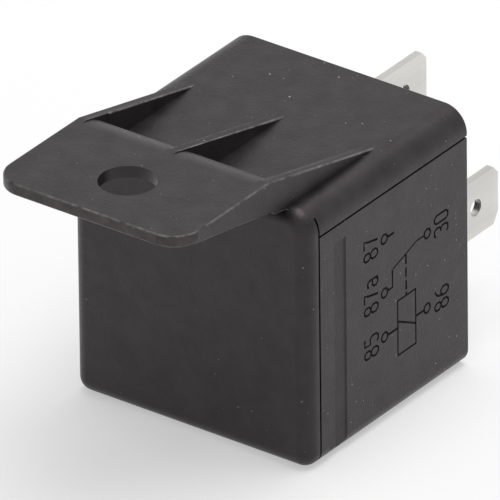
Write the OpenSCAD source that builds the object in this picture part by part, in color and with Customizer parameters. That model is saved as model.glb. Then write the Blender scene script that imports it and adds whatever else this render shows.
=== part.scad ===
// Automotive change-over relay, five blades, moulded cover with a screw bracket.
// The relay lies on the side opposite the bracket. x runs from the closed end to
// the blades, z up from the resting face, y across. Millimetres.
// The origin is the centre of the resting face.

/* [Cover] */
// length of the cover along x
cover_l = 26.4; // [26:0.2:27]
// width of the cover across y
cover_w = 28.2; // [28:0.1:28.6]
// height of the cover, resting face to top face
cover_h = 28.2; // [28.2:0.1:28.4]
// wall of the cover
wall = 1.2; // [1:0.05:1.25]
// radius of the two long upper edges
edge_top = 2.6; // [2.2:0.1:3]
// radius of the two long lower edges and of those round the closed end
edge_low = 1.6; // [1.2:0.1:1.8]

/* [Bracket] */
// width of the bracket
plate_w = 22.6; // [22:0.2:23]
// how far the bracket reaches past the closed end
plate_out = 16.3; // [15.5:0.1:17]
// thickness of the bracket
plate_t = 1.25; // [1.1:0.05:1.4]
// height of the bracket's face over the cover's top face
plate_up = 4.05; // [3.8:0.05:4.3]
// radius of the bracket's free corners
plate_r = 3.0; // [2:0.1:3.5]
// diameter of the screw hole
hole_d = 5.8; // [5.3:0.1:6.4]
// distance of the screw hole from the closed end
hole_out = 9.55; // [9:0.05:10]
// thickness of the three gussets
rib_t = 1.05; // [0.9:0.05:1.2]
// reach of the gussets along the top face
rib_l = 15.2; // [13:0.1:16]

/* [Terminals] */
// width of a blade
blade_w = 6.3;
// thickness of a blade
blade_t = 0.8;
// reach of the blades past the cover's rim
blade_out = 12.5; // [11:0.1:13]
// chamfer at a blade's corners
blade_ch = 1.0; // [0.6:0.1:1.2]
// diameter of the detent hole in a blade
blade_hole = 1.8; // [1.4:0.1:2]
// distance of terminals 85 and 86 from the middle
side_y = 8.5; // [8.4:0.05:8.6]

/* [Drive] */
// swing of the armature in degrees
swing = 2.8;
// radius of the wound coil
coil_r = 6.0; // [5.4:0.1:6]
// radius of the core's shaft
core_r = 2.5;
// thickness of the yoke
yoke_t = 1.4;
// thickness of the armature
arm_t = 1.2;
// thickness of the contact spring
leaf_t = 0.25;

/* [View] */
// piece to draw

/* [Hidden] */
$fn = 64;
e = 0.01;

zc = cover_h / 2;
in_y = cover_w / 2 - wall;
plate_z = cover_h + plate_up;
plate_lo = plate_z - plate_t;
tip_x = cover_l + blade_out;

// heights of the blades' centres
z_30 = zc + 7.6;
z_side = zc - 2.4;
z_87a = zc - 0.4;
z_87 = zc - 8.4;

// base
base_in = 23.9;
base_out = 26.1;
pad_in = 23.4;

// magnet circuit: pole plane, core axis, yoke
pole_x = 5.8;
core_z = zc + 1.9;
yoke_w = 12;
yoke_lo = core_z + 6.7;
yoke_hi = yoke_lo + yoke_t;
yoke_end = 22.6;
arm_gap = 0.1;
arm_x = pole_x - arm_gap;
arm_lo = 9.5;
leaf_x = arm_x - arm_t;
contact_z = zc - 8.5;
leaf_lo = contact_z - 1.6;
head_t = 0.55;
touch = 0.06;

// fixed contacts meet the moving one at the two ends of its swing
reach = yoke_hi - contact_z;
throw = reach * tan(swing);
nc_x = leaf_x - leaf_t - throw - head_t - touch - 0.05;
no_x = leaf_x + head_t + touch + 0.05;
shelf_nc = nc_x - 0.5;
shelf_no = no_x + 0.6;

// places the relay's own x so that the origin is under its middle
module placed() translate([-cover_l / 2, 0, 0]) children();

// a block given by its two corners
module block(a, b) translate(a) cube(b - a);

// a 2D shape drawn in y and z, drawn out along x from x0 to x1
module along_x(x0, x1)
    translate([x0, 0, 0]) rotate([90, 0, 90]) linear_extrude(x1 - x0) children();

// a 2D shape drawn in x and z, drawn out along y from y0 to y1
module along_y(y0, y1)
    translate([0, y1, 0]) rotate([90, 0, 0]) linear_extrude(y1 - y0) children();

// a rod along x
module rod_x(x0, x1, r, y, z)
    translate([x0, y, z]) rotate([0, 90, 0]) cylinder(h = x1 - x0, r = r);

// rectangle with two lower corners of radius rl and two upper ones of radius ru
module round_rect(w, z0, z1, rl, ru) {
    for (s = [-1, 1]) {
        translate([s * (w / 2 - rl), z0 + rl]) circle(rl);
        translate([s * (w / 2 - ru), z1 - ru]) circle(ru);
    }
    translate([-w / 2, z0 + rl]) square([w, z1 - z0 - rl - ru]);
    translate([-w / 2 + rl, z0]) square([w - 2 * rl, z1 - z0 - ru]);
    translate([-w / 2 + ru, z0 + rl]) square([w - 2 * ru, z1 - z0 - rl]);
}

// rectangle from x = 0 whose two corners at x = 0 are rounded
module end_round(l, lo, hi, r) {
    for (v = [lo + r, hi - r]) translate([r, v]) circle(r);
    translate([0, lo + r]) square([l, hi - lo - 2 * r]);
    translate([r, lo]) square([l - r, hi - lo]);
}

// half section of an upper corner: a bar whose closed end is rounded
module nose() {
    intersection() {
        translate([edge_top - edge_low, edge_low]) circle(edge_low);
        square(edge_top);
    }
    translate([0, edge_low]) square([edge_top, cover_l - edge_low]);
    square([edge_top - edge_low, edge_low]);
}

// box with rounded long edges: the lower ones end in balls, the upper ones in revolved noses
module cover_outside() {
    low_y = cover_w / 2 - edge_low;
    top_y = cover_w / 2 - edge_top;
    for (s = [-1, 1]) {
        translate([edge_low, s * low_y, edge_low]) sphere(edge_low);
        rod_x(edge_low, cover_l, edge_low, s * low_y, edge_low);
        translate([0, s * top_y, cover_h - edge_top]) rotate([0, 90, 0]) rotate_extrude() nose();
    }
    along_y(-top_y, top_y) end_round(cover_l, 0, cover_h, edge_low);
    along_y(-low_y, low_y) {
        translate([edge_low, edge_low]) circle(edge_low);
        translate([edge_low, 0]) square([cover_l - edge_low, cover_h / 2]);
        translate([0, edge_low]) square([cover_l, cover_h / 2]);
    }
    translate([0, 0, edge_low]) linear_extrude(cover_h - edge_low - edge_top)
        end_round(cover_l, -cover_w / 2, cover_w / 2, edge_low);
}

// side view of the bracket: flat plate, rounded heel, slope down into the cover
module plate_side(web) {
    polygon([[-plate_out, plate_z], [-plate_out, plate_lo],
        [web ? -plate_out + 2.3 : -4.6, plate_lo],
        [web ? -1.9 : -1.2, cover_h + (web ? 0.6 : 0.1)],
        [1.0, cover_h - 0.2], [1.0, cover_h - 0.9], [1.9, cover_h - 0.9],
        [1.6, cover_h], [-1.6, plate_z - 0.357], [-2.366, plate_z - 0.6],
        [-2.366, plate_z]]);
    translate([-2.366, plate_z - 1]) circle(1);
}

// outline of the bracket from above, free corners rounded
module plate_plan() {
    for (s = [-1, 1])
        translate([-plate_out + plate_r, s * (plate_w / 2 - plate_r)]) circle(plate_r);
    translate([-plate_out, -plate_w / 2 + plate_r])
        square([plate_r + 1, plate_w - 2 * plate_r]);
    translate([-plate_out + plate_r, -plate_w / 2]) square([plate_out + 2, plate_w]);
}

module gusset(y) along_y(y - rib_t / 2, y + rib_t / 2)
    polygon([[-3, plate_z - 0.6], [-2.366, plate_z], [-2.2, plate_z], [rib_l, cover_h],
        [rib_l, cover_h - 0.5], [1.2, cover_h - 0.5], [-1.2, cover_h + 0.7]]);

// shallow moulding lines and the stepped channel on the side that carries the diagram
module side_lines() {
    groove = 0.25;
    side = -cover_w / 2;
    along_x(1.9, 2.14) difference() {
        translate([side - 1, -1]) square([3.6, cover_h]);
        round_rect(cover_w - 2 * groove, groove, cover_h - groove,
            edge_low - groove, edge_top - groove);
    }
    block([2.0, -cover_w, cover_h - 3.07], [cover_l + 1, side + groove, cover_h - 2.85]);
    translate([0, 0, -1]) linear_extrude(cover_h - 3.8)
        polygon([[3.4, side - 1], [3.4, side], [3.55, side + 0.12], [4.6, side + 0.13],
            [4.8, side + 0.24], [6.15, side + 0.14], [6.35, side], [6.35, side - 1]]);
}

module cover() color([0.13, 0.13, 0.14]) placed() difference() {
    union() {
        cover_outside();
        intersection() {
            union() {
                along_y(-plate_w / 2, plate_w / 2) plate_side(false);
                for (s = [-1, 1]) translate([0, s * (plate_w / 2 - rib_t / 2), 0])
                    along_y(-rib_t / 2, rib_t / 2) plate_side(true);
            }
            translate([0, 0, cover_h - 1]) linear_extrude(plate_up + 2) plate_plan();
        }
        for (y = [-1, 0, 1]) gusset(y * (plate_w - rib_t) / 2);
    }
    along_x(wall, cover_l + 1)
        round_rect(2 * in_y, wall, cover_h - wall, edge_low - 0.5, edge_top - wall);
    side_lines();
    translate([-hole_out, 0, cover_h]) cylinder(h = plate_up + 1, d = hole_d);
}

// one blade along x with chamfered corners, thinned tip and detent hole
module blade(x0) difference() {
    intersection() {
        along_y(-blade_t / 2, blade_t / 2) polygon([[x0, -blade_w / 2],
            [tip_x - blade_ch, -blade_w / 2], [tip_x, -blade_w / 2 + blade_ch],
            [tip_x, blade_w / 2 - blade_ch], [tip_x - blade_ch, blade_w / 2],
            [x0, blade_w / 2]]);
        translate([0, 0, -blade_w]) linear_extrude(2 * blade_w)
            polygon([[x0, -blade_t / 2], [tip_x - 1.1, -blade_t / 2], [tip_x, -0.18],
                [tip_x, 0.18], [tip_x - 1.1, blade_t / 2], [x0, blade_t / 2]]);
    }
    translate([tip_x - 4.0, 0, 0]) rotate([90, 0, 0])
        cylinder(h = 2, d = blade_hole, center = true);
}

// the five openings in the base are as large as the blades' shanks
module shank_slots() {
    block([base_in - 1, -blade_t / 2, z_30 - blade_w / 2],
        [base_out + 1, blade_t / 2, z_30 + blade_w / 2]);
    for (s = [-1, 1])
        block([base_in - 1, s * side_y - blade_t / 2, z_side - blade_w / 2],
            [base_out + 1, s * side_y + blade_t / 2, z_side + blade_w / 2]);
    for (z = [z_87a, z_87])
        block([base_in - 1, -blade_w / 2, z - blade_t / 2],
            [base_out + 1, blade_w / 2, z + blade_t / 2]);
}

module base() color([0.16, 0.16, 0.16]) placed() difference() {
    union() {
        along_x(base_in, base_out)
            round_rect(2 * in_y - 0.1, wall + 0.05, cover_h - wall - 0.05, 1.2, 1.4);
        // rim that lines the cover's mouth
        along_x(base_in - 1.5, base_in) difference() {
            round_rect(2 * in_y - 0.1, wall + 0.05, cover_h - wall - 0.05, 1.2, 1.4);
            round_rect(2 * in_y - 1.9, wall + 0.95, cover_h - wall - 0.95, 0.6, 0.6);
        }
        // pad below the foot of terminal 30
        block([pad_in, -2.6, z_30 - 4], [base_in, 6, z_30 + 3.6]);
        // raised collar round each blade on the outside
        for (s = [-1, 1])
            block([base_out - e, s * side_y - 1, z_side - 3.9],
                [base_out + 0.25, s * side_y + 1, z_side + 3.9]);
        block([base_out - e, -1, z_30 - 3.9], [base_out + 0.25, 1, z_30 + 3.9]);
        for (z = [z_87a, z_87])
            block([base_out - e, -3.9, z - 1], [base_out + 0.25, 3.9, z + 1]);
    }
    shank_slots();
    // vent in the base
    rod_x(base_in - 1, base_out + 1, 0.7, -5.2, zc - 8.4);
}

module terminal_30() color([0.82, 0.80, 0.74]) placed() {
    translate([0, 0, z_30]) blade(pad_in - 0.8);
    block([pad_in - 0.8, -blade_t / 2, z_30 - blade_w / 2], [pad_in, 4.8, yoke_hi]);
}

module side_terminal(s) placed() {
    translate([0, s * side_y, z_side]) blade(base_in - 0.8);
    block([19.2, s * side_y - blade_t / 2, z_side - 1.1],
        [base_in, s * side_y + blade_t / 2, z_side + 1.1]);
}
module terminal_85() color([0.82, 0.80, 0.74]) side_terminal(-1);
module terminal_86() color([0.82, 0.80, 0.74]) side_terminal(1);

// terminal 87: foot, riser along the lower wall, shelf for the make contact
module terminal_87() color([0.82, 0.80, 0.74]) placed() difference() {
    union() {
        translate([0, 0, z_87]) rotate([90, 0, 0]) blade(base_in - 0.8);
        block([base_in - 0.8, -blade_w / 2, 2.3], [base_in, blade_w / 2, z_87 + blade_t / 2]);
        block([shelf_no, -2.4, 2.3], [base_in, 2.4, 3.1]);
        block([shelf_no, -2.4, 2.3], [shelf_no + 0.8, 2.4, contact_z + 2.2]);
    }
    rod_x(shelf_no - 1, shelf_no + 2, 0.8, 0, contact_z);
}

// terminal 87a: foot led round the side, riser, shelf for the break contact
module terminal_87a() color([0.82, 0.80, 0.74]) placed() difference() {
    f0 = base_in - 0.8;
    z0 = contact_z - 1.9;
    z1 = contact_z + 1.9;
    union() {
        translate([0, 0, z_87a]) rotate([90, 0, 0]) blade(f0);
        block([f0, -blade_w / 2, z_87a - 1.2], [base_in, 6.2, z_87a + 0.4]);
        block([f0, 4.6, z0], [base_in, 6.2, z_87a + 0.4]);
        block([f0, 4.6, z0], [base_in, 9.9, z1 - 0.4]);
        block([shelf_nc - 0.8, 9.1, z0], [base_in, 9.9, z1 - 0.4]);
        block([shelf_nc - 0.8, -2.2, z0], [shelf_nc, 9.9, z1]);
    }
    rod_x(shelf_nc - 2, shelf_nc + 1, 0.8, 0, contact_z);
}

module yoke() color([0.72, 0.73, 0.75]) placed() difference() {
    union() {
        block([pole_x, -yoke_w / 2, yoke_lo], [yoke_end, yoke_w / 2, yoke_hi]);
        block([yoke_end - yoke_t, -yoke_w / 2, core_z - 4.1], [yoke_end, yoke_w / 2, yoke_hi]);
    }
    rod_x(yoke_end - 3, yoke_end + 1, 1.9, 0, core_z);
    for (s = [-1, 1]) translate([11, s * 3, yoke_lo - 1]) cylinder(h = 4, r = 0.8);
}

module core() color([0.66, 0.67, 0.70]) placed() {
    rod_x(pole_x, pole_x + 1.2, 3.7, 0, core_z);
    rod_x(pole_x + 1.2, yoke_end - yoke_t, core_r, 0, core_z);
    rod_x(yoke_end - yoke_t - e, yoke_end, 1.9, 0, core_z);
}

module bobbin() color([0.86, 0.83, 0.74]) placed() difference() {
    union() {
        rod_x(pole_x + 1.2, yoke_end - yoke_t, core_r + 0.8, 0, core_z);
        rod_x(pole_x + 1.2, pole_x + 2.2, 6.6, 0, core_z);
        rod_x(yoke_end - yoke_t - 1, yoke_end - yoke_t, 6.6, 0, core_z);
        // wings of the lower flange that guide the coil's ends
        block([yoke_end - yoke_t - 1, -7.6, core_z - 5.2], [yoke_end - yoke_t, 7.6, core_z - 1.6]);
    }
    rod_x(0, yoke_end, core_r, 0, core_z);
}

module coil() color([0.72, 0.38, 0.16]) placed() difference() {
    rod_x(pole_x + 2.2, yoke_end - yoke_t - 1, coil_r, 0, core_z);
    rod_x(0, yoke_end, core_r + 0.8, 0, core_z);
}

module coil_tape() color([0.78, 0.66, 0.22]) placed() difference() {
    rod_x(pole_x + 2.6, yoke_end - yoke_t - 3.2, coil_r + 0.12, 0, core_z);
    rod_x(0, yoke_end, coil_r, 0, core_z);
}

// enamelled end of the coil, led to a side terminal's tab
module lead(s) placed()
    translate([19.75, s * (coil_r - 1.0), z_side]) rotate([-s * 90, 0, 0])
        cylinder(h = side_y - blade_t / 2 - coil_r + 1.0, r = 0.2);
module lead_85() color([0.72, 0.38, 0.16]) lead(-1);
module lead_86() color([0.72, 0.38, 0.16]) lead(1);

module solder(s) placed() difference() {
    translate([19.75, s * (side_y - blade_t / 2), z_side]) sphere(0.7);
    block([18, min(s * 9.5, s * (side_y - blade_t / 2)), z_side - 2],
        [21.5, max(s * 9.5, s * (side_y - blade_t / 2)), z_side + 2]);
    translate([19.75, 0, z_side]) rotate([90, 0, 0]) cylinder(h = 20, r = 0.2, center = true);
}
module solder_85() color([0.75, 0.75, 0.76]) solder(-1);
module solder_86() color([0.75, 0.75, 0.76]) solder(1);

module fixed_contact_nc() color([0.86, 0.86, 0.84]) placed() {
    rod_x(shelf_nc, nc_x, 1.5, 0, contact_z);
    rod_x(shelf_nc - 0.8, shelf_nc + e, 0.8, 0, contact_z);
}
module fixed_contact_no() color([0.86, 0.86, 0.84]) placed() {
    rod_x(no_x, shelf_no, 1.5, 0, contact_z);
    rod_x(shelf_no - e, shelf_no + 0.8, 0.8, 0, contact_z);
}

// everything on the armature is drawn closed and swung back to its rest pose
module swung() translate([pole_x, 0, yoke_hi]) rotate([0, swing, 0])
    translate([-pole_x, 0, -yoke_hi]) children();

module armature() color([0.66, 0.67, 0.70]) placed() swung() difference() {
    block([leaf_x, -yoke_w / 2, arm_lo], [arm_x, yoke_w / 2, yoke_hi - 0.45]);
    for (s = [-1, 1]) rod_x(0, arm_x + 1, 0.8, s * 3, core_z - 1);
}

// spring leaf: flat on the yoke's back, bent over its heel, riveted to the armature
module contact_spring() color([0.80, 0.60, 0.32]) placed() difference() {
    hx = leaf_x + 0.35;
    union() {
        block([hx, -4.8, yoke_hi], [14, 4.8, yoke_hi + leaf_t]);
        intersection() {
            translate([hx, 0, yoke_hi - 0.35]) rotate([90, 0, 0]) difference() {
                cylinder(h = 9.6, r = 0.35 + leaf_t, center = true);
                cylinder(h = 10, r = 0.35, center = true);
            }
            block([leaf_x - 1, -6, yoke_hi - 0.35], [hx, 6, yoke_hi + 1]);
        }
        swung() along_x(leaf_x - leaf_t, leaf_x) polygon([[-4.8, yoke_hi - 0.33],
            [-4.8, 12.4], [-2.3, 9.4], [-2.3, leaf_lo], [2.3, leaf_lo], [2.3, 9.4],
            [4.8, 12.4], [4.8, yoke_hi - 0.33]]);
    }
    swung() {
        rod_x(0, arm_x, 0.7, 0, contact_z);
        for (s = [-1, 1]) rod_x(0, arm_x, 0.8, s * 3, core_z - 1);
    }
    for (s = [-1, 1]) translate([11, s * 3, yoke_lo]) cylinder(h = 5, r = 0.8);
}

module moving_contact() color([0.86, 0.86, 0.84]) placed() swung() {
    rod_x(leaf_x, leaf_x + head_t, 1.4, 0, contact_z);
    rod_x(leaf_x - leaf_t - e, leaf_x + e, 0.7, 0, contact_z);
    rod_x(leaf_x - leaf_t - head_t, leaf_x - leaf_t, 1.4, 0, contact_z);
}

module armature_rivet(s) placed() swung() {
    rod_x(leaf_x - leaf_t - e, arm_x, 0.8, s * 3, core_z - 1);
    rod_x(leaf_x - leaf_t - 0.45, leaf_x - leaf_t, 1.3, s * 3, core_z - 1);
}
module armature_rivet_1() color([0.75, 0.75, 0.76]) armature_rivet(-1);
module armature_rivet_2() color([0.75, 0.75, 0.76]) armature_rivet(1);

module yoke_rivet(s) placed() translate([11, s * 3, 0]) {
    translate([0, 0, yoke_lo]) cylinder(h = yoke_t + leaf_t + e, r = 0.8);
    translate([0, 0, yoke_hi + leaf_t]) cylinder(h = 0.5, r = 1.3);
}
module yoke_rivet_1() color([0.75, 0.75, 0.76]) yoke_rivet(-1);
module yoke_rivet_2() color([0.75, 0.75, 0.76]) yoke_rivet(1);

cover();
base();
terminal_30();
terminal_85();
terminal_86();
terminal_87();
terminal_87a();
yoke();
core();
bobbin();
coil();
coil_tape();
lead_85();
lead_86();
solder_85();
solder_86();
fixed_contact_nc();
fixed_contact_no();
armature();
contact_spring();
moving_contact();
armature_rivet_1();
armature_rivet_2();
yoke_rivet_1();
yoke_rivet_2();
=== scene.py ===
# %% [markdown]
# # A relay with a screw bracket
# The relay is a square moulded cover, a bracket with three gussets, five tin
# plated blades and the switching parts inside. The exact solids come from the
# imported frame and stay where they are. Here they get their moulded edges, the
# engraved wiring diagram, a copy of the contact leaf cut across its heel, and
# their materials.

# %% Frame
import math

import bmesh
import bpy
from mathutils import Matrix, Vector


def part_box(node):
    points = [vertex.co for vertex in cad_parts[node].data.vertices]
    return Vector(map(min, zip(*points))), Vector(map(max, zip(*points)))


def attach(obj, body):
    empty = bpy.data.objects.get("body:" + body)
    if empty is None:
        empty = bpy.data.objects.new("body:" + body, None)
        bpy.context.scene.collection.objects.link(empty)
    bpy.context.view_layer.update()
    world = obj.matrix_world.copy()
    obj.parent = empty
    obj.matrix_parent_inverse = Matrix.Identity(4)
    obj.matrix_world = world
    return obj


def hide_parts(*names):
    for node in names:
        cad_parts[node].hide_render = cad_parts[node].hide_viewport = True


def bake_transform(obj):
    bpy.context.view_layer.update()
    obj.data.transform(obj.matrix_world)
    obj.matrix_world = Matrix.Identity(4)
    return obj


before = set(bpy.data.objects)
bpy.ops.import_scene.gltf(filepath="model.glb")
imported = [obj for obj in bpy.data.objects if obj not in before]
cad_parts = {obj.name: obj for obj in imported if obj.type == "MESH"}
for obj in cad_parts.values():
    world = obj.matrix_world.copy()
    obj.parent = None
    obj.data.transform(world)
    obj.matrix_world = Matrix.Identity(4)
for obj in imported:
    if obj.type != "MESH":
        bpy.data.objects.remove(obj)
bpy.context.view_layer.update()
MM = 0.001

# %% [markdown]
# The cover's box gives every place that follows. The blades leave at its high x
# end, the rim. The side with the diagram is its low y side. The bracket reaches
# past the closed end, so that end is found from the cover's length. The screw
# hole is a little under ten millimetres beyond it.

# %% Places on the cover
COVER_LONG = 26.4 * MM
HOLE_OUT = 9.55 * MM
HOLE_CLEAR = 3.0 * MM
RIM_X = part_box("cover")[1].x
END_X = RIM_X - COVER_LONG
SIDE_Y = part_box("cover")[0].y
PLATE_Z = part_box("cover")[1].z
HOLE_X = END_X - HOLE_OUT
print("closed end %.4f, rim %.4f, side %.4f, bracket %.4f" % (END_X, RIM_X, SIDE_Y, PLATE_Z))

# %% [markdown]
# ## Small tools
# An operator works on everything that is selected, so each step first clears
# the selection. Cutting and joining solids, copying a solid and linking shader
# nodes come up again and again, so each is one short function.

# %% Selection, solids and sockets
SAME_SPOT = 0.000002


def only(piece):
    """Makes one object the selected and active one."""
    bpy.ops.object.select_all(action="DESELECT")
    piece.select_set(True)
    bpy.context.view_layer.objects.active = piece


def combine(piece, tool, operation, material_mode="INDEX"):
    """Applies one exact boolean to a piece and removes the tool."""
    step = piece.modifiers.new(operation.lower(), "BOOLEAN")
    step.operation = operation
    step.solver = "EXACT"
    step.material_mode = material_mode
    step.object = tool
    only(piece)
    bpy.ops.object.modifier_apply(modifier=step.name)
    bpy.data.objects.remove(tool)


def copy_of(node, name):
    """A loose copy of a carried-over solid, with its place in its mesh and no material."""
    made = bpy.data.objects.new(name, node.data.copy())
    bpy.context.scene.collection.objects.link(made)
    made.data.transform(node.matrix_world)
    made.data.materials.clear()
    return made


def wire(tree, source, target):
    """Joins an output socket to an input socket."""
    tree.links.new(source, target)


def node_at(tree, kind, place, **settings):
    """Adds a shader node of one kind and sets its plain settings."""
    made = tree.nodes.new(kind)
    made.location = place
    for name, value in settings.items():
        setattr(made, name, value)
    return made


print("tools ready")

# %% [markdown]
# ## Shared effects
# Moulded plastic has a fine grain that breaks up its gloss, and a faint
# mottling where it cooled unevenly. Both are noise at two sizes, so they are
# one group that every plastic and metal here uses with its own values.

# %% Grain group
def group_with(name, inputs, outputs):
    """Starts a shader node group with named number inputs and outputs."""
    group = bpy.data.node_groups.new(name, "ShaderNodeTree")
    for label, value in inputs:
        socket = group.interface.new_socket(label, in_out="INPUT", socket_type="NodeSocketFloat")
        socket.default_value = value
    for label in outputs:
        group.interface.new_socket(label, in_out="OUTPUT", socket_type="NodeSocketFloat")
    start = node_at(group, "NodeGroupInput", (-900, 0))
    end = node_at(group, "NodeGroupOutput", (700, 0))
    return group, start, end


grain, g_in, g_out = group_with(
    "surface grain",
    [("Grain Scale", 4200.0), ("Mottle Scale", 260.0), ("Stretch X", 1.0)],
    ["Grain", "Mottle"],
)
g_coord = node_at(grain, "ShaderNodeTexCoord", (-900, 300))
g_split = node_at(grain, "ShaderNodeSeparateXYZ", (-700, 300))
g_mult = node_at(grain, "ShaderNodeMath", (-500, 400), operation="MULTIPLY")
g_join = node_at(grain, "ShaderNodeCombineXYZ", (-300, 300))
wire(grain, g_coord.outputs["Object"], g_split.inputs[0])
wire(grain, g_split.outputs["X"], g_mult.inputs[0])
wire(grain, g_in.outputs["Stretch X"], g_mult.inputs[1])
wire(grain, g_mult.outputs[0], g_join.inputs["X"])
wire(grain, g_split.outputs["Y"], g_join.inputs["Y"])
wire(grain, g_split.outputs["Z"], g_join.inputs["Z"])
g_fine = node_at(grain, "ShaderNodeTexNoise", (0, 200))
g_fine.inputs["Detail"].default_value = 3.0
g_fine.inputs["Roughness"].default_value = 0.6
g_wide = node_at(grain, "ShaderNodeTexNoise", (0, -200))
g_wide.inputs["Detail"].default_value = 4.0
for noise, scale in ((g_fine, "Grain Scale"), (g_wide, "Mottle Scale")):
    wire(grain, g_join.outputs[0], noise.inputs["Vector"])
    wire(grain, g_in.outputs[scale], noise.inputs["Scale"])
wire(grain, g_fine.outputs["Fac"], g_out.inputs["Grain"])
wire(grain, g_wide.outputs["Fac"], g_out.inputs["Mottle"])
print("grain group:", len(grain.nodes), "nodes")

# %% [markdown]
# Pale dust sits on the dark cover as separate specks. Cells of a Voronoi
# pattern carry one speck each. A random colour per cell decides whether the
# speck is there, how large it is and how pale.

# %% Speck group
specks, s_in, s_out = group_with(
    "dust specks",
    [("Cell Scale", 700.0), ("Speck Size", 0.07), ("Bare Share", 0.7)],
    ["Specks"],
)
s_coord = node_at(specks, "ShaderNodeTexCoord", (-900, 300))
s_cells = node_at(specks, "ShaderNodeTexVoronoi", (-600, 200))
wire(specks, s_coord.outputs["Object"], s_cells.inputs["Vector"])
wire(specks, s_in.outputs["Cell Scale"], s_cells.inputs["Scale"])
s_split = node_at(specks, "ShaderNodeSeparateColor", (-400, 0))
wire(specks, s_cells.outputs["Color"], s_split.inputs[0])
s_size = node_at(specks, "ShaderNodeMath", (-200, -150), operation="MULTIPLY")
wire(specks, s_split.outputs["Green"], s_size.inputs[0])
wire(specks, s_in.outputs["Speck Size"], s_size.inputs[1])
s_near = node_at(specks, "ShaderNodeMath", (0, 200), operation="LESS_THAN")
wire(specks, s_cells.outputs["Distance"], s_near.inputs[0])
wire(specks, s_size.outputs[0], s_near.inputs[1])
s_there = node_at(specks, "ShaderNodeMath", (0, 0), operation="GREATER_THAN")
wire(specks, s_split.outputs["Red"], s_there.inputs[0])
wire(specks, s_in.outputs["Bare Share"], s_there.inputs[1])
s_both = node_at(specks, "ShaderNodeMath", (200, 100), operation="MULTIPLY")
wire(specks, s_near.outputs[0], s_both.inputs[0])
wire(specks, s_there.outputs[0], s_both.inputs[1])
s_pale = node_at(specks, "ShaderNodeMath", (450, 100), operation="MULTIPLY")
wire(specks, s_both.outputs[0], s_pale.inputs[0])
wire(specks, s_split.outputs["Blue"], s_pale.inputs[1])
wire(specks, s_pale.outputs[0], s_out.inputs["Specks"])
print("speck group:", len(specks.nodes), "nodes")

# %% [markdown]
# ## Materials
# One function sets up a Principled shader whose colour runs between two tones
# with the mottling, and whose gloss and height follow the grain. What is the
# same all over stays a plain value on the shader's own socket.

# %% Material maker
def place_group(tree, group, place, **values):
    """Puts a shared effect into a material with this material's own values."""
    used = node_at(tree, "ShaderNodeGroup", place, node_tree=group)
    for label, value in values.items():
        used.inputs[label.replace("_", " ")].default_value = value
    return used


def two_tones(tree, factor, low, high, place):
    """A colour that runs from low to high with a factor."""
    mix = node_at(tree, "ShaderNodeMix", place, data_type="RGBA")
    mix.inputs["A"].default_value = (*low, 1.0)
    mix.inputs["B"].default_value = (*high, 1.0)
    wire(tree, factor, mix.inputs["Factor"])
    return mix


def finish(name, low, high, rough, metal=0.0, bump=0.2, depth=0.02, grain_scale=4200.0,
           mottle_scale=260.0, stretch=1.0, tint=(1.0, 1.0, 1.0), shine=0.5):
    """A material with two tones, a roughness range and a fine bump."""
    made = bpy.data.materials.new(name)
    made.use_nodes = True
    tree = made.node_tree
    shader = tree.nodes["Principled BSDF"]
    shader.inputs["Metallic"].default_value = metal
    shader.inputs["Specular Tint"].default_value = (*tint, 1.0)
    shader.inputs["Specular IOR Level"].default_value = shine
    used = place_group(tree, grain, (-900, 0), Grain_Scale=grain_scale,
                       Mottle_Scale=mottle_scale, Stretch_X=stretch)
    spread = node_at(tree, "ShaderNodeMapRange", (-750, 250))
    spread.inputs["From Min"].default_value = 0.3
    spread.inputs["From Max"].default_value = 0.7
    wire(tree, used.outputs["Mottle"], spread.inputs["Value"])
    tones = two_tones(tree, spread.outputs["Result"], low, high, (-600, 200))
    wire(tree, tones.outputs["Result"], shader.inputs["Base Color"])
    gloss = node_at(tree, "ShaderNodeMapRange", (-600, -100))
    gloss.inputs["From Min"].default_value = 0.3
    gloss.inputs["From Max"].default_value = 0.7
    gloss.inputs["To Min"].default_value = rough[0]
    gloss.inputs["To Max"].default_value = rough[1]
    wire(tree, used.outputs["Grain"], gloss.inputs["Value"])
    wire(tree, gloss.outputs["Result"], shader.inputs["Roughness"])
    relief = node_at(tree, "ShaderNodeBump", (-300, -300))
    relief.inputs["Strength"].default_value = bump
    relief.inputs["Distance"].default_value = depth * MM
    wire(tree, used.outputs["Grain"], relief.inputs["Height"])
    wire(tree, relief.outputs["Normal"], shader.inputs["Normal"])
    return made


print("material maker ready")

# %% [markdown]
# The cover is charcoal plastic with dust on it. Two sizes of speck are laid
# over its tones. Its worn corners are the same plastic, rubbed paler and given a
# painted highlight, so they are a second material that only the rounded edges
# get.

# %% Cover plastic
def add_dust(made, layers, colour):
    """Lays pale specks over a material's own colour."""
    tree = made.node_tree
    shader = tree.nodes["Principled BSDF"]
    base = shader.inputs["Base Color"].links[0].from_socket
    for row, (cell, size, bare) in enumerate(layers):
        used = place_group(tree, specks, (-600, 700 + 250 * row), Cell_Scale=cell,
                           Speck_Size=size, Bare_Share=bare)
        mix = node_at(tree, "ShaderNodeMix", (-300, 500 + 200 * row), data_type="RGBA")
        mix.inputs["B"].default_value = (*colour, 1.0)
        wire(tree, used.outputs["Specks"], mix.inputs["Factor"])
        wire(tree, base, mix.inputs["A"])
        base = mix.outputs["Result"]
    wire(tree, base, shader.inputs["Base Color"])
    return made


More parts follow.
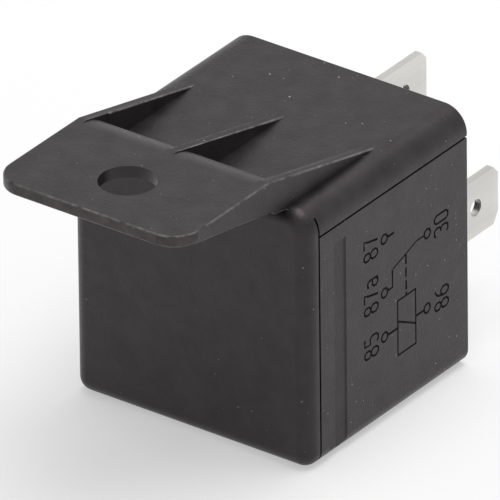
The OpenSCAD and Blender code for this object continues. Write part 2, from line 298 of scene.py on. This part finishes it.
WARM = (1.0, 0.89, 0.92)
DUST = (0.50, 0.49, 0.48)
cover_plastic = add_dust(
    finish("charcoal cover plastic", (0.0030, 0.0026, 0.0027), (0.0180, 0.0165, 0.0170),
           (0.32, 0.44), bump=0.9, depth=0.04, grain_scale=4200.0, mottle_scale=420.0, tint=WARM,
           shine=0.48),
    [(1500.0, 0.11, 0.55), (700.0, 0.075, 0.50)], DUST)
cover_rim = add_dust(
    finish("scuffed bracket rim", (0.010, 0.0085, 0.0085), (0.055, 0.049, 0.048),
           (0.32, 0.44), bump=0.9, depth=0.04, grain_scale=4200.0, mottle_scale=900.0, tint=WARM),
    [(1300.0, 0.12, 0.5)], DUST)
# The rubbed edge is partly real wear and partly painted highlight: its pale tone stands for light caught
# on the rounded corners.
edge_wear_and_highlight = finish("rubbed cover edge and painted highlight", (0.007, 0.0065, 0.0065), (0.17, 0.158, 0.155),
                    (0.30, 0.44), bump=0.6, depth=0.04, mottle_scale=1100.0)
# The groove material is dark and dull: it is painted shade in the cut lines.
engraving_shade = finish("engraved line shade", (0.003, 0.003, 0.003), (0.008, 0.0075, 0.0075),
                   (0.60, 0.80), bump=0.2, depth=0.02, mottle_scale=1500.0, shine=0.16)
print("cover plastic, worn edge and engraving made")

# %% [markdown]
# The metals differ in tone and in the direction of their marks. Sheet is
# rolled along the blade, so its grain is stretched along x. Wire and contacts
# are even.

# %% Metals and inner plastics
tin = finish("tin plated sheet", (0.60, 0.59, 0.57), (0.67, 0.66, 0.63), (0.26, 0.42),
             metal=1.0, bump=0.12, depth=0.01, grain_scale=3800.0, mottle_scale=500.0, stretch=0.12)
zinc = finish("zinc plated iron", (0.56, 0.57, 0.59), (0.66, 0.67, 0.69), (0.26, 0.44),
              metal=1.0, bump=0.2, depth=0.015, mottle_scale=700.0)
iron = finish("nickel plated iron", (0.48, 0.48, 0.50), (0.58, 0.58, 0.60), (0.22, 0.36),
              metal=1.0, bump=0.15, depth=0.01, mottle_scale=500.0)
bronze = finish("spring bronze", (0.70, 0.49, 0.26), (0.77, 0.55, 0.31), (0.18, 0.30),
                metal=1.0, bump=0.1, depth=0.01, stretch=0.3)
silver = finish("silver contact", (0.80, 0.79, 0.77), (0.92, 0.91, 0.89), (0.15, 0.30),
                metal=1.0, bump=0.08, depth=0.01)
solder_metal = finish("tin solder", (0.60, 0.60, 0.60), (0.78, 0.78, 0.78), (0.20, 0.34),
                      metal=1.0, bump=0.3, depth=0.02, grain_scale=1500.0)
base_plastic = add_dust(
    finish("black base plastic", (0.020, 0.020, 0.021), (0.040, 0.039, 0.040),
           (0.42, 0.58), bump=0.3, depth=0.03),
    [(800.0, 0.07, 0.92)], (0.30, 0.30, 0.29))
bobbin_plastic = finish("natural bobbin plastic", (0.66, 0.61, 0.50), (0.80, 0.75, 0.64),
                        (0.35, 0.5), bump=0.2, depth=0.02)
tape_film = finish("yellow film tape", (0.60, 0.44, 0.06), (0.78, 0.60, 0.12),
                   (0.16, 0.30), bump=0.2, depth=0.02, grain_scale=900.0)
print("materials so far:", len(bpy.data.materials))

# %% [markdown]
# The coil is wound from thin enamelled wire. Each turn is a ridge round the
# coil's axis, which runs along x, so bands along x give the winding its
# height, and the darker lines between the turns are painted shade in the creases.

# %% Winding
def winding(name, low, high, turns_per_metre):
    """Enamelled wire whose turns are bands along x, with painted shade between them."""
    made = finish(name, low, high, (0.18, 0.32), metal=0.75, bump=0.1, depth=0.01)
    tree = made.node_tree
    shader = tree.nodes["Principled BSDF"]
    coord = node_at(tree, "ShaderNodeTexCoord", (-1300, -500))
    bands = node_at(tree, "ShaderNodeTexWave", (-1000, -500), wave_type="BANDS",
                    bands_direction="X", wave_profile="SIN")
    bands.inputs["Scale"].default_value = turns_per_metre / 20.0 * math.pi * 2.0
    wire(tree, coord.outputs["Object"], bands.inputs["Vector"])
    # The dark tone between the turns is the wire's colour darkened: painted shade in the creases.
    tones = two_tones(tree, bands.outputs["Fac"], tuple(0.35 * v for v in low), high, (-600, 450))
    wire(tree, tones.outputs["Result"], shader.inputs["Base Color"])
    relief = node_at(tree, "ShaderNodeBump", (-600, -500))
    relief.inputs["Strength"].default_value = 0.9
    relief.inputs["Distance"].default_value = 0.08 * MM
    wire(tree, bands.outputs["Fac"], relief.inputs["Height"])
    wire(tree, relief.outputs["Normal"], shader.inputs["Normal"])
    return made


wire_enamel = winding("enamelled copper wire", (0.46, 0.16, 0.05), (0.80, 0.36, 0.14), 900.0)
print("winding made:", wire_enamel.name)

# %% Materials on the carried-over solids
FINISHES = {
    "base": base_plastic, "terminal_30": tin, "terminal_85": tin, "terminal_86": tin,
    "terminal_87": tin, "terminal_87a": tin, "yoke": zinc, "core": iron,
    "bobbin": bobbin_plastic, "coil": wire_enamel, "coil_tape": tape_film,
    "lead_85": wire_enamel, "lead_86": wire_enamel, "solder_85": solder_metal,
    "solder_86": solder_metal, "fixed_contact_nc": silver, "fixed_contact_no": silver,
    "armature": iron, "contact_spring": bronze, "moving_contact": silver,
    "armature_rivet_1": zinc, "armature_rivet_2": zinc, "yoke_rivet_1": zinc, "yoke_rivet_2": zinc,
}
for name, look in FINISHES.items():
    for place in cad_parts[name].material_slots:
        place.material = look
print("finished solids:", len(FINISHES))

# %% [markdown]
# Stamped sheet and small mouldings have slightly broken edges that catch the
# light. A narrow live bevel gives that to the carried-over solids without
# changing their meshes.

# %% Broken edges
EDGE_BREAKS = {"terminal_30": 0.07, "terminal_85": 0.07, "terminal_86": 0.07, "terminal_87": 0.07,
               "terminal_87a": 0.07, "base": 0.1, "yoke": 0.1, "armature": 0.1, "bobbin": 0.08}
for name, width in EDGE_BREAKS.items():
    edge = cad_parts[name].modifiers.new("broken edge", "BEVEL")
    edge.width = width * MM
    edge.segments = 2
    edge.limit_method = "ANGLE"
    edge.angle_limit = math.radians(40)
print("edges broken on", len(EDGE_BREAKS), "solids")

# %% [markdown]
# ## The cover
# The cover is one moulding, and its copy stands for the solid, so that the
# corners can be rounded and the diagram cut in. Flat faces are first joined into
# single faces, because a bevel needs clean corners. A face can't go round a
# hole, so the bracket is parted across its screw hole first, and the two sides
# get different materials while the rest is joined. Then the bracket's outer rim
# gets the scuffed material. Slot two is the engraved line's, for the cutter.

# %% Cover copy
PLAIN, WORN_AND_HIGHLIT, RIM = 0, 1, 3
cover = copy_of(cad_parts["cover"], "cover_moulding")
for look in (cover_plastic, edge_wear_and_highlight, engraving_shade, cover_rim):
    cover.data.materials.append(look)
only(cover)
bpy.ops.object.mode_set(mode="EDIT")
bpy.ops.mesh.select_all(action="SELECT")
bpy.ops.mesh.remove_doubles(threshold=SAME_SPOT)
bpy.ops.mesh.bisect(plane_co=(HOLE_X, 0, 0), plane_no=(1, 0, 0))
bpy.ops.object.mode_set(mode="OBJECT")
for face in cover.data.polygons:
    face.material_index = WORN_AND_HIGHLIT if face.center.x < HOLE_X else PLAIN
bpy.ops.object.mode_set(mode="EDIT")
bpy.ops.mesh.select_all(action="SELECT")
bpy.ops.mesh.dissolve_limited(angle_limit=math.radians(0.4), delimit={"MATERIAL"})
bpy.ops.object.mode_set(mode="OBJECT")
for face in cover.data.polygons:
    on_plate = face.center.z > PLATE_Z - 1.4 * MM and face.center.x < END_X - 2.5 * MM
    on_rim = on_plate and abs(face.normal.z) < 0.3 and face.center.x < END_X - 2.6 * MM
    on_web = abs(face.normal.y) > 0.95 and face.center.x > END_X - 12.0 * MM
    in_hole = math.hypot(face.center.x - HOLE_X, face.center.y) < HOLE_CLEAR
    face.material_index = RIM if on_rim and not on_web and not in_hole else PLAIN
print("cover faces after joining:", len(cover.data.polygons))

# %% [markdown]
# Between the gussets the bracket rolls over its back edge in a wide, soft curve
# before it drops to the top face. The solid has a tighter roll there, and its
# slope lies a little nearer the screw hole. So a slab is first laid on the slope, and
# then the corner is rounded: a bar laid across it, hollowed by a cylinder that
# touches both the flat plate and the slope, cuts the corner away.

# %% Soft roll behind the plate
HEEL_R = 5.5 * MM
SLOPE_RISE, SLOPE_RUN = 4.05, 3.5
SLOPE = math.atan2(SLOPE_RISE, SLOPE_RUN)
KNEE = Vector((END_X - 0.8 * MM, 0, PLATE_Z))
SLAB_LONG = 9 * MM
SLAB_HIGH = 1.25 * MM
SLAB_MIDDLE = 2.7
SLAB_FOOT = PLATE_Z - 4.45 * MM
GUSSET = 0.525 * MM
SIDE_GUSSET = 10.25 * MM
BAR_HIGH = 1.2 * MM
reach = HEEL_R * math.tan(SLOPE / 2)
centre = KNEE + Vector((-reach, 0, -HEEL_R))
outward = Vector((math.sin(SLOPE / 2), 0, math.cos(SLOPE / 2)))


def thicken_slope(y_low, y_high):
    """Lays a slab on the slope behind the plate, trimmed at the plate's top and in the top wall."""
    middle, width = (y_low + y_high) / 2, y_high - y_low
    down = Vector((math.cos(SLOPE), 0, -math.sin(SLOPE)))
    out = Vector((math.sin(SLOPE), 0, math.cos(SLOPE)))
    place = KNEE + down * SLAB_MIDDLE * MM - out * SLAB_HIGH / 2 + Vector((0, middle, 0))
    bpy.ops.object.select_all(action="DESELECT")
    bpy.ops.mesh.primitive_cube_add(size=1.0, location=place, rotation=(0, SLOPE, 0),
                                    scale=(SLAB_LONG, width, SLAB_HIGH))
    slab = bpy.context.object
    bpy.ops.object.transform_apply()
    bpy.ops.object.mode_set(mode="EDIT")
    bpy.ops.mesh.select_all(action="SELECT")
    bpy.ops.mesh.bisect(plane_co=(0, 0, PLATE_Z), plane_no=(0, 0, 1), use_fill=True, clear_outer=True)
    bpy.ops.mesh.select_all(action="SELECT")
    bpy.ops.mesh.bisect(plane_co=(0, 0, SLAB_FOOT), plane_no=(0, 0, 1), use_fill=True, clear_inner=True)
    bpy.ops.object.mode_set(mode="OBJECT")
    combine(cover, slab, "UNION")


def roll_over(y_low, y_high):
    """Rounds the bracket's back edge between two places across the relay."""
    middle, width = (y_low + y_high) / 2, y_high - y_low
    chord = 2 * HEEL_R * math.sin(SLOPE / 2)
    foot = centre + outward * HEEL_R * math.cos(SLOPE / 2)
    place = foot + outward * BAR_HIGH / 2 + Vector((0, middle, 0))
    bpy.ops.object.select_all(action="DESELECT")
    bpy.ops.mesh.primitive_cube_add(size=1.0, location=place, rotation=(0, SLOPE / 2, 0),
                                    scale=(chord, width, BAR_HIGH))
    bar = bpy.context.object
    bpy.ops.object.transform_apply()
    bpy.ops.mesh.primitive_cylinder_add(vertices=160, radius=HEEL_R, depth=width * 1.2,
                                        location=centre + Vector((0, middle, 0)),
                                        rotation=(math.pi / 2, 0, 0))
    roller = bpy.context.object
    combine(bar, roller, "DIFFERENCE")
    combine(cover, bar, "DIFFERENCE")


for y_low, y_high in ((-SIDE_GUSSET, -GUSSET), (GUSSET, SIDE_GUSSET)):
    thicken_slope(y_low, y_high)
    roll_over(y_low, y_high)
    only(cover)
    bpy.ops.object.mode_set(mode="EDIT")
    bpy.ops.mesh.select_all(action="SELECT")
    bpy.ops.mesh.remove_doubles(threshold=SAME_SPOT)
    bpy.ops.object.mode_set(mode="OBJECT")
print("cover faces with the soft roll:", len(cover.data.polygons))

# %% [markdown]
# Corners that stand out get rubbed pale and a painted highlight, and inner
# corners don't. So the bevel works by edge weight, and only an edge whose two
# faces turn away from each other gets one. The fine moulding lines on the
# diagram's side stay crisp, and so do the low steps where the gussets rise out
# of the rolled edge.

# %% Moulded corners
def weight_corners(piece, least=38.0):
    """Gives a bevel weight to each outward corner and returns how many there are."""
    shape = bmesh.new()
    shape.from_mesh(piece.data)
    weight = shape.edges.layers.float.new("bevel_weight_edge")
    count = 0
    for edge in shape.edges:
        if len(edge.link_faces) != 2 or edge.calc_face_angle() < math.radians(least):
            continue
        middle = (edge.verts[0].co + edge.verts[1].co) / 2
        in_line = middle.y < SIDE_Y + 1.5 * MM and END_X + 1.0 * MM < middle.x < RIM_X - 0.1 * MM
        in_hole = math.hypot(middle.x - HOLE_X, middle.y) < HOLE_CLEAR
        beside = min(abs(abs(middle.y) - GUSSET), abs(abs(middle.y) - SIDE_GUSSET)) < 0.15 * MM
        at_start = beside and END_X - 4.5 * MM < middle.x < END_X + 0.6 * MM
        if edge.is_convex and not in_line and not in_hole and not at_start:
            edge[weight] = 1.0
            count += 1
    shape.to_mesh(piece.data)
    shape.free()
    return count


print("outward corners:", weight_corners(cover))
soft = cover.modifiers.new("moulded corner", "BEVEL")
soft.width = 0.15 * MM
soft.segments = 2
soft.limit_method = "WEIGHT"
soft.use_clamp_overlap = False
soft.loop_slide = False
# The rounded corners take the rubbed edge material, worn plastic with a painted highlight.
soft.material = WORN_AND_HIGHLIT
only(cover)
bpy.ops.object.modifier_apply(modifier=soft.name)
print("cover faces with rounded corners:", len(cover.data.polygons))

# %% [markdown]
# ## The wiring diagram
# The side of the cover carries the usual diagram of a change-over relay: a
# coil between 85 and 86, and a contact that joins 30 to 87a or 87. The lines
# are cut into the plastic with a round-nosed tool. Each line is a thin rod
# that runs along the face, half sunk in it, and each is cut out by itself. A
# circle or a closed figure is a closed rod, so that it has no open ends.

# %% Line cutter
def face_point(x, z):
    """A point on the side face, x from the closed end and z from the resting face, in mm."""
    return Vector((END_X + x * MM, SIDE_Y, z * MM))


def engrave(path, width=0.26, closed=False):
    """Cuts one line into the side face along a path of (x, z) points."""
    bpy.ops.object.select_all(action="DESELECT")
    bpy.ops.curve.primitive_nurbs_path_add(location=(0, 0, 0))
    line = bpy.context.object
    line.data.splines.clear()
    spline = line.data.splines.new("POLY")
    spline.points.add(len(path) - 1)
    for point, (x, z) in zip(spline.points, path):
        point.co = (*face_point(x, z), 1.0)
    spline.use_cyclic_u = closed
    line.data.bevel_depth = width / 2 * MM
    line.data.bevel_resolution = 2
    line.data.use_fill_caps = not closed
    only(line)
    bpy.ops.object.convert(target="MESH")
    tool = bpy.context.object
    # The cut faces take the groove material, which paints shade into the lines.
    tool.data.materials.clear()
    tool.data.materials.append(engraving_shade)
    before = len(cover.data.polygons)
    combine(cover, tool, "DIFFERENCE", "TRANSFER")
    return len(cover.data.polygons) - before


print("cutter ready")

# %% [markdown]
# The numerals are plain single-line figures, written up the face. Each one is
# a few short paths on a grid one wide and two high, as on a drafting stencil.
# Some of the lines are open and some close on themselves. The same paths are
# scaled and placed for every terminal, in millimetres on the face.

# %% Numerals
OPEN_LINES = {
    "3": [[(0, 1.8), (.25, 2), (.75, 2), (1, 1.75), (1, 1.3), (.75, 1.05), (.4, 1.05)],
          [(.76, 1.04), (1, .8), (1, .3), (.75, 0), (.25, 0), (0, .2)]],
    "5": [[(.95, 2), (.1, 2), (.05, 1.15), (.7, 1.2), (1, .9), (1, .3), (.7, 0), (.25, 0), (0, .2)]],
    "6": [[(.9, 2), (.42, 1.75), (.16, 1.35), (.05, .88)]],
    "7": [[(0, 2), (1, 2), (.75, 1.4), (.4, 0)]],
    "a": [[(.1, 1.35), (.35, 1.5), (.75, 1.5), (.95, 1.25), (.95, 0)]],
}
CLOSED_LINES = {
    "0": [[(0, .3), (0, 1.7), (.3, 2), (.7, 2), (1, 1.7), (1, .3), (.7, 0), (.3, 0)]],
    "6": [[(0, .8), (.3, 1.1), (.7, 1.1), (1, .8), (1, .3), (.7, 0), (.3, 0), (0, .3)]],
    "8": [[(.3, 1.1), (.05, 1.35), (.05, 1.75), (.3, 2), (.7, 2), (.95, 1.75), (.95, 1.35), (.7, 1.1)],
          [(.3, 1.04), (0, .75), (0, .3), (.3, 0), (.7, 0), (1, .3), (1, .75), (.7, 1.04)]],
    "a": [[(.95, .8), (.35, .82), (.05, .6), (.05, .25), (.3, 0), (.65, 0), (.95, .3)]],
}


def write(text, foot_x, start_z, height=2.2, width=0.92, pitch=1.42):
    """Writes figures up the face: their feet at foot_x, the first at start_z."""
    added = 0
    for place, figure in enumerate(text):
        for lines, closed in ((CLOSED_LINES, True), (OPEN_LINES, False)):
            for path in lines.get(figure, []):
                spots = [(foot_x - v / 2 * height, start_z + place * pitch + u * width) for u, v in path]
                added += engrave(spots, 0.25, closed)
    return added


for text, foot_x, start_z in (("30", 23.05, 16.45), ("86", 23.05, 8.20), ("87", 11.50, 18.95),
                              ("87a", 11.50, 12.98), ("85", 11.50, 8.15)):
    print("figures %-3s cut with %d faces" % (text, write(text, foot_x, start_z)))

# %% Circles, contact and coil
TERMINALS = ((19.65, 17.56), (19.55, 9.33), (12.58, 14.25), (12.60, 20.20), (12.55, 9.38))
CIRCLE_R = 0.50
TURN = [2 * math.pi * k / 16 for k in range(16)]
for x, z in TERMINALS:
    circle = [(x + CIRCLE_R * math.cos(a), z + CIRCLE_R * math.sin(a)) for a in TURN]
    print("circle at %.2f, %.2f cut with %d faces" % (x, z, engrave(circle, 0.24, True)))
LINES = [
    ([(19.15, 17.56), (17.96, 17.60), (16.12, 16.95), (13.95, 16.25)], 0.18, False),
    ([(13.08, 14.28), (13.92, 14.28), (13.88, 16.20)], 0.26, False),
    ([(13.1, 20.20), (14.2, 20.20)], 0.26, False),
    ([(13.05, 9.38), (14.70, 9.36)], 0.26, False),
    ([(17.69, 9.33), (19.05, 9.33)], 0.26, False),
    ([(16.12, 16.85), (16.14, 15.80)], 0.26, False),
    ([(16.12, 15.45), (16.14, 14.40)], 0.26, False),
    ([(16.12, 14.05), (16.14, 13.00)], 0.26, False),
    ([(16.14, 12.75), (16.14, 12.38)], 0.26, False),
    ([(14.72, 12.36), (17.67, 12.36), (17.67, 6.33), (14.72, 6.33)], 0.28, True),
    ([(14.74, 10.08), (17.65, 8.58)], 0.22, False),
]
for path, width, closed in LINES:
    print("line from %.2f, %.2f cut with %d faces" % (*path[0], engrave(path, width, closed)))

# %% [markdown]
# A moulding has flat walls and soft corners, and both have to shade that way. An
# edge stays sharp where two faces meet at more than ten degrees, apart from the
# rounded corners, where the limit is wider. Normals weighted by area then keep
# the big walls perfectly flat right up to their corners.

# %% Sharp edges and flat walls
def set_sharp(piece, wall_limit=10.0, corner_limit=50.0):
    """Marks the edges that stay sharp and weights the normals by face area."""
    only(piece)
    bpy.ops.object.shade_smooth()
    mesh = piece.data
    normals, corners = {}, {}
    for face in mesh.polygons:
        for key in face.edge_keys:
            normals.setdefault(key, []).append(face.normal.copy())
            corners[key] = corners.get(key, False) or face.material_index > 0
    sharp = 0
    for edge in mesh.edges:
        pair = normals.get(edge.key, [])
        limit = math.radians(corner_limit if corners.get(edge.key) else wall_limit)
        edge.use_edge_sharp = len(pair) != 2 or pair[0].angle(pair[1], 0.0) > limit
        sharp += edge.use_edge_sharp
    flat = piece.modifiers.new("flat walls", "WEIGHTED_NORMAL")
    flat.mode = "FACE_AREA"
    flat.weight = 90
    flat.keep_sharp = True
    bpy.ops.object.modifier_apply(modifier=flat.name)
    return sharp


print("sharp edges on the cover:", set_sharp(cover))

# %% Cover in place
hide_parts("cover")
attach(cover, "relay")
print("cover rides on relay,", len(cover.material_slots), "finishes")

# %% [markdown]
# ## The contact leaf
# The armature hangs on a bronze leaf that is riveted to the yoke and bends over
# its heel. It is a copy of the solid, cut level across the heel in thin bands,
# and it keeps the solid's shape.

# %% Leaf cut across its heel
BEND_HIGH = 2.4 * MM
BEND_STEPS = 8
leaf = copy_of(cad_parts["contact_spring"], "contact_leaf")
leaf.data.materials.append(bronze)
hinge_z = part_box("yoke")[1].z
only(leaf)
bpy.ops.object.mode_set(mode="EDIT")
for step in range(BEND_STEPS + 1):
    bpy.ops.mesh.select_all(action="SELECT")
    level_z = hinge_z - BEND_HIGH * step / BEND_STEPS
    bpy.ops.mesh.bisect(plane_co=(0, 0, level_z), plane_no=(0, 0, 1))
bpy.ops.object.mode_set(mode="OBJECT")
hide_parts("contact_spring")
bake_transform(leaf)
print("leaf bends over %.1f mm, %d vertices" % (BEND_HIGH / MM, len(leaf.data.vertices)))

# %% [markdown]
# ## Room, light and camera
# The relay lies on a pale floor under one large soft lamp, high up and a little
# towards the blades and the diagram. So the top and the diagram's side are
# brighter than the closed end. Where the camera or a glossy surface looks past
# the relay, the room is white, and dark plastic shows that as a soft sheen. The
# floor lies a hair below the relay, so that the two faces don't flicker.

# %% What the camera or a gloss sees
def seen_directly(tree, place):
    """Gives 1 to a camera or glossy ray and 0 to any other."""
    path = node_at(tree, "ShaderNodeLightPath", place)
    seen = node_at(tree, "ShaderNodeMath", (place[0] + 200, place[1]), operation="MAXIMUM")
    wire(tree, path.outputs["Is Camera Ray"], seen.inputs[0])
    wire(tree, path.outputs["Is Glossy Ray"], seen.inputs[1])
    return seen.outputs[0]


print("white for the camera and for gloss")

# %% Floor
bpy.ops.object.select_all(action="DESELECT")
bpy.ops.mesh.primitive_plane_add(size=6.0, location=(0, 0, -0.1 * MM))
floor = bpy.context.object
floor.name = "floor"
white = bpy.data.materials.new("pale floor")
white.use_nodes = True
tree = white.node_tree
shader = tree.nodes["Principled BSDF"]
shader.inputs["Base Color"].default_value = (0.60, 0.60, 0.60, 1.0)
shader.inputs["Roughness"].default_value = 1.0
shader.inputs["Specular IOR Level"].default_value = 0.0
glow = node_at(tree, "ShaderNodeEmission", (0, -300))
glow.inputs["Strength"].default_value = 0.42
lift = node_at(tree, "ShaderNodeMixShader", (200, -300))
wire(tree, seen_directly(tree, (-400, -300)), lift.inputs["Fac"])
wire(tree, glow.outputs[0], lift.inputs[2])
both = node_at(tree, "ShaderNodeAddShader", (400, 0))
wire(tree, shader.outputs[0], both.inputs[0])
wire(tree, lift.outputs[0], both.inputs[1])
wire(tree, both.outputs[0], tree.nodes["Material Output"].inputs["Surface"])
floor.data.materials.append(white)
print("floor laid")

# %% World
room = bpy.data.worlds.new("room")
bpy.context.scene.world = room
room.use_nodes = True
tree = room.node_tree
tree.nodes["Background"].inputs["Strength"].default_value = 0.50
tree.nodes["Background"].inputs["Color"].default_value = (1.0, 1.0, 1.0, 1.0)
bright = node_at(tree, "ShaderNodeBackground", (0, -200))
bright.inputs["Strength"].default_value = 1.0
pick = node_at(tree, "ShaderNodeMixShader", (300, 0))
wire(tree, seen_directly(tree, (-400, 200)), pick.inputs["Fac"])
wire(tree, tree.nodes["Background"].outputs[0], pick.inputs[1])
wire(tree, bright.outputs[0], pick.inputs[2])
wire(tree, pick.outputs[0], tree.nodes["World Output"].inputs["Surface"])
print("room lit")

# %% Lamps
def soft_lamp(name, place, aim, size, watts):
    """A square area lamp at a place, pointed at a point."""
    lamp = bpy.data.lights.new(name, "AREA")
    lamp.size = size
    lamp.energy = watts
    holder = bpy.data.objects.new(name, lamp)
    holder.location = place
    holder.rotation_euler = (Vector(aim) - Vector(place)).to_track_quat("-Z", "Y").to_euler()
    bpy.context.scene.collection.objects.link(holder)
    return holder


MIDDLE = (0.0, 0.0, 0.014)
soft_lamp("overhead", (0.10, -0.06, 0.60), MIDDLE, 0.45, 2.1)

# %% [markdown]
# The camera stands far off with a long lens, low to the front left, and is
# tilted a touch about its own axis.

# %% Camera
AZIMUTH, ELEVATION, ROLL = math.radians(-53.474), math.radians(29.503), math.radians(-0.674)
DISTANCE, FIELD = 1.9254, math.radians(1.43658)
AIM_RIGHT, AIM_UP = 5.710 * MM, 17.612 * MM
back = Vector((math.sin(AZIMUTH) * math.cos(ELEVATION), -math.cos(AZIMUTH) * math.cos(ELEVATION),
               math.sin(ELEVATION)))
level = Vector((math.cos(AZIMUTH), math.sin(AZIMUTH), 0.0))
upward = back.cross(level)
right = math.cos(ROLL) * level + math.sin(ROLL) * upward
up = math.cos(ROLL) * upward - math.sin(ROLL) * level
turn = Matrix((right, up, back)).transposed().to_4x4()
spot = Vector((END_X, 0, 0)) + back * DISTANCE + right * AIM_RIGHT + up * AIM_UP
lens = bpy.data.cameras.new("camera")
lens.sensor_fit = "HORIZONTAL"
lens.angle = FIELD
lens.clip_start = 0.05
camera = bpy.data.objects.new("camera", lens)
camera.matrix_world = Matrix.Translation(spot) @ turn
bpy.context.scene.collection.objects.link(camera)
bpy.context.scene.camera = camera
print("camera %.3f m away" % DISTANCE)

# %% View and sizes
scene = bpy.context.scene
scene.view_settings.view_transform = "Standard"
